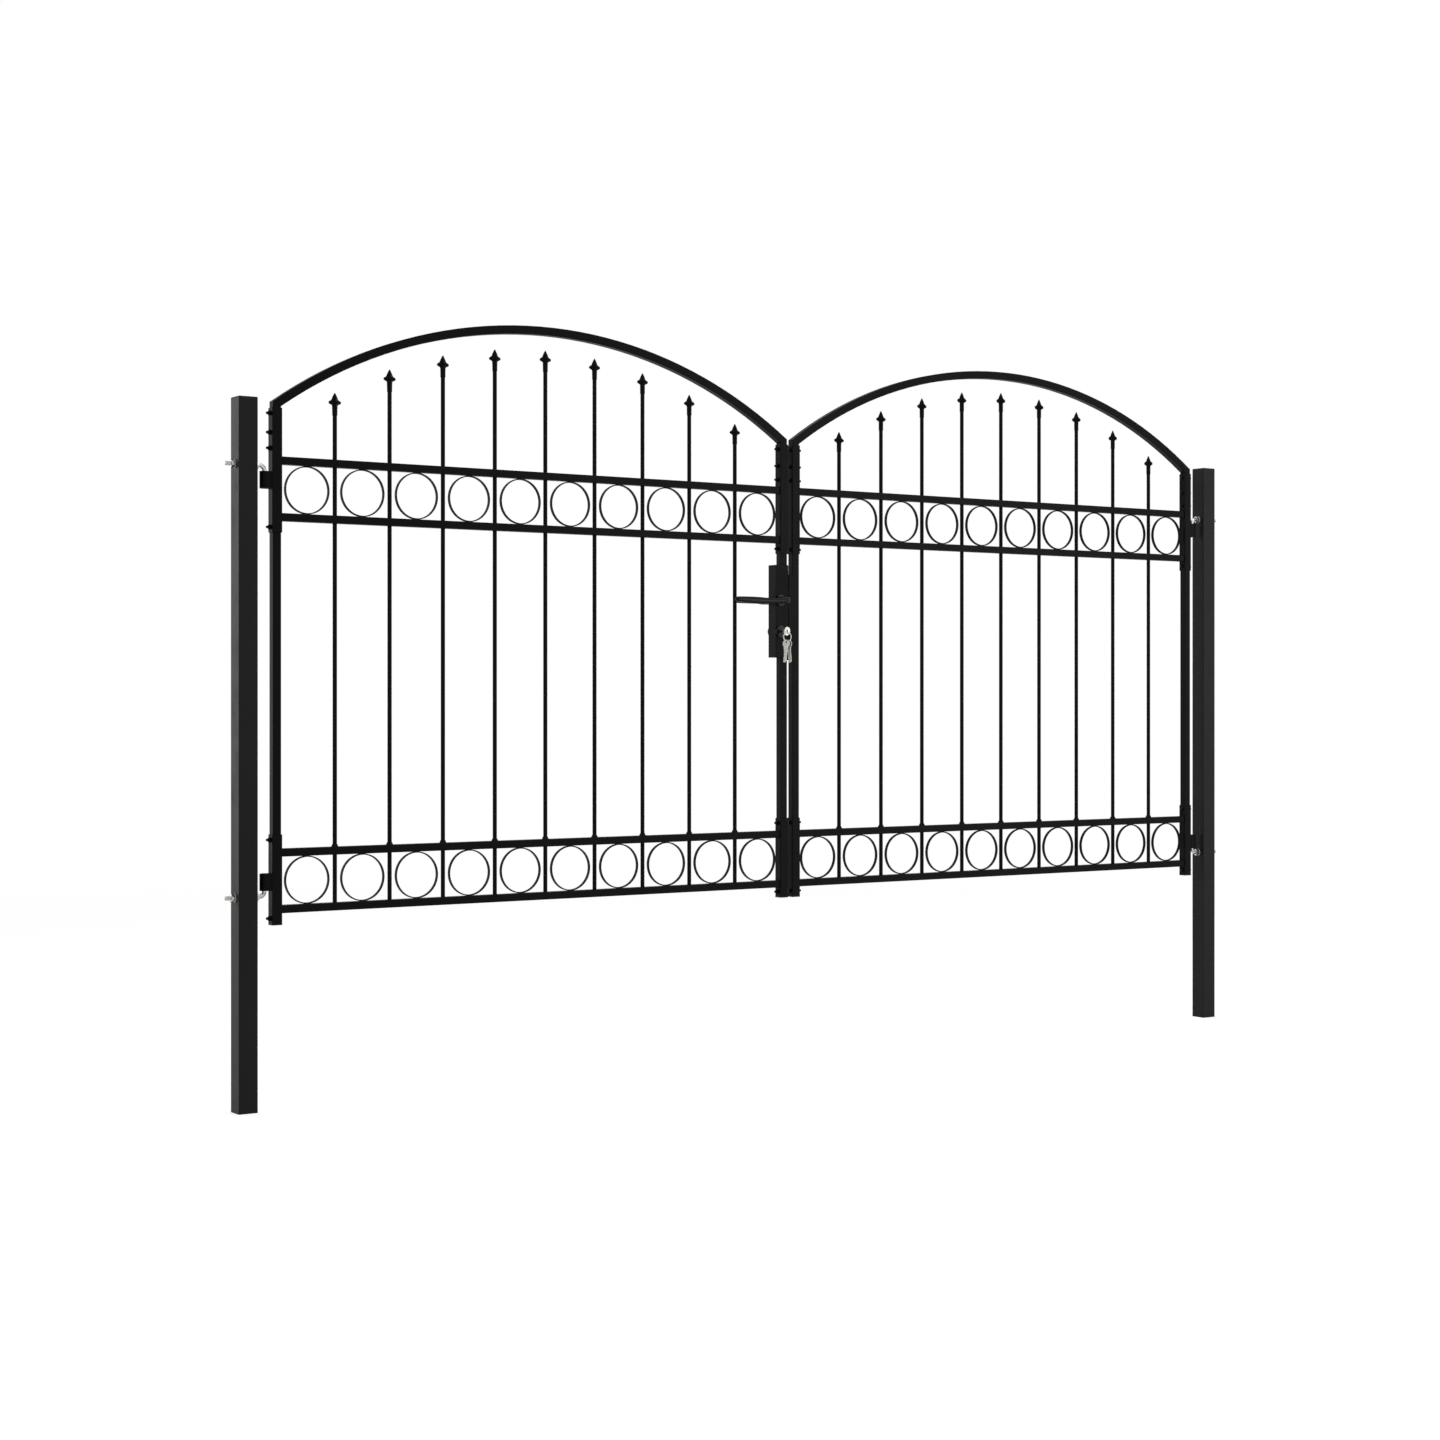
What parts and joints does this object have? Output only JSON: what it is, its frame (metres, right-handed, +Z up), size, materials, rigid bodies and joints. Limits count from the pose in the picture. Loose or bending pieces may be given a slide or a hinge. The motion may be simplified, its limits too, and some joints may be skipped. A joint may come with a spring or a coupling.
{
  "type": "double gate",
  "caption": "Arched double garden gate: two hinged leaves of welded tube with ring bands, spear-tipped bars, a lever lock and keys, hung between square posts.",
  "frame": {"origin": "on the ground plane of the post feet, midway between the posts and in the gate's middle plane", "axes": "+X along the gate from the lock leaf to the plain leaf, +Y from the front to the back (the leaves open towards +Y), +Z up"},
  "size_m": [3.047, 0.116, 1.8034],
  "materials": {
    "coat": "black powder coat, satin, very fine grain",
    "lever_coat": "black lacquer, smoother and glossier than the frame",
    "plastic": "matt black moulded plastic",
    "zinc": "bright zinc plating",
    "nickel": "nickel plating, polished by use"
  },
  "bodies": {
    "posts": {"left_post_lower": "coat", "left_post_upper": "coat", "left_post_connector": "coat", "left_post_cap": "plastic", "right_post_lower": "coat", "right_post_upper": "coat", "right_post_connector": "coat", "right_post_cap": "plastic", "hinge_bolts": "zinc", "hinge_nuts": "zinc", "hinge_washers": "zinc"},
    "left_leaf": {"left_arch": "coat", "left_hinge_stile": "coat", "left_free_stile": "coat", "left_stile_plugs": "plastic", "left_upper_sleeves": "coat", "left_lower_sleeves": "coat", "left_upper_rails": "coat", "left_lower_rails": "coat", "left_upper_rings": "coat", "left_lower_rings": "coat", "left_bars": "coat", "left_collars": "coat", "left_spear_tips": "coat", "left_joint_bolts": "coat", "left_joint_nuts": "coat", "left_hinge_blocks": "coat", "lock_case": "coat", "lock_faceplate": "zinc", "lock_trim": "lever_coat", "lock_cylinder": "lever_coat", "lever_spring": "zinc"},
    "right_leaf": {"right_arch": "coat", "right_hinge_stile": "coat", "right_free_stile": "coat", "right_stile_plugs": "plastic", "right_upper_sleeves": "coat", "right_lower_sleeves": "coat", "right_upper_rails": "coat", "right_lower_rails": "coat", "right_upper_rings": "coat", "right_lower_rings": "coat", "right_bars": "coat", "right_collars": "coat", "right_spear_tips": "coat", "right_joint_bolts": "coat", "right_joint_nuts": "coat", "right_hinge_blocks": "coat", "strike_channel": "coat"},
    "lever": {"lever_front": "lever_coat", "lever_back": "lever_coat", "lever_spindle": "zinc", "lock_follower": "zinc"},
    "latch": {"latch_bolt": "zinc"},
    "deadlock": {"dead_bolt": "zinc"},
    "key": {"key": "nickel", "cylinder_plug": "lever_coat"},
    "ring": {"key_ring": "nickel"},
    "key_a": {"spare_key_a": "nickel"},
    "key_b": {"spare_key_b": "nickel"}
  },
  "joints": [
    {"name": "left_leaf_swing", "type": "hinge", "parent": "posts", "child": "left_leaf", "pos_m": [-1.4305, 0, 0.504], "axis": [0, 0, 1], "range_deg": [0, 90]},
    {"name": "right_leaf_swing", "type": "hinge", "parent": "posts", "child": "right_leaf", "pos_m": [1.4305, 0, 0.504], "axis": [0, 0, -1], "range_deg": [0, 90]},
    {"name": "lever_press", "type": "hinge", "parent": "left_leaf", "child": "lever", "pos_m": [-0.0338, 0, 1.167], "axis": [0, -1, 0], "range_deg": [0, 40], "stiffness_Nm_per_rad": 1.2, "springref_deg": -45.84},
    {"name": "latch_slide", "type": "slide", "parent": "left_leaf", "child": "latch", "axis": [-1, 0, 0], "range_m": [0, 0.013]},
    {"name": "key_turn", "type": "hinge", "parent": "left_leaf", "child": "key", "pos_m": [-0.0338, 0, 1.088], "axis": [0, 1, 0], "range_deg": [0, 90]},
    {"name": "dead_bolt_slide", "type": "slide", "parent": "left_leaf", "child": "deadlock", "axis": [1, 0, 0], "range_m": [0, 0.014]},
    {"name": "ring_hang", "type": "hinge", "parent": "key", "child": "ring", "pos_m": [-0.0338, -0.046, 1.0805], "axis": [0, 1, 0], "range_deg": [-90, 0]},
    {"name": "spare_key_a_hang", "type": "hinge", "parent": "ring", "child": "key_a", "pos_m": [-0.03679, -0.046, 1.06264], "axis": [0, 1, 0], "range_deg": [-6, 24]},
    {"name": "spare_key_b_hang", "type": "hinge", "parent": "ring", "child": "key_b", "pos_m": [-0.03081, -0.046, 1.06264], "axis": [0, -1, 0], "range_deg": [-6, 24]}
  ],
  "couplings": [
    {"joint": "latch_slide", "follows": "lever_press", "m_per_rad": 0.0186},
    {"joint": "key_turn", "follows": "dead_bolt_slide", "rad_per_m": 112.19},
    {"joint": "ring_hang", "follows": "dead_bolt_slide", "rad_per_m": -112.19}
  ]
}
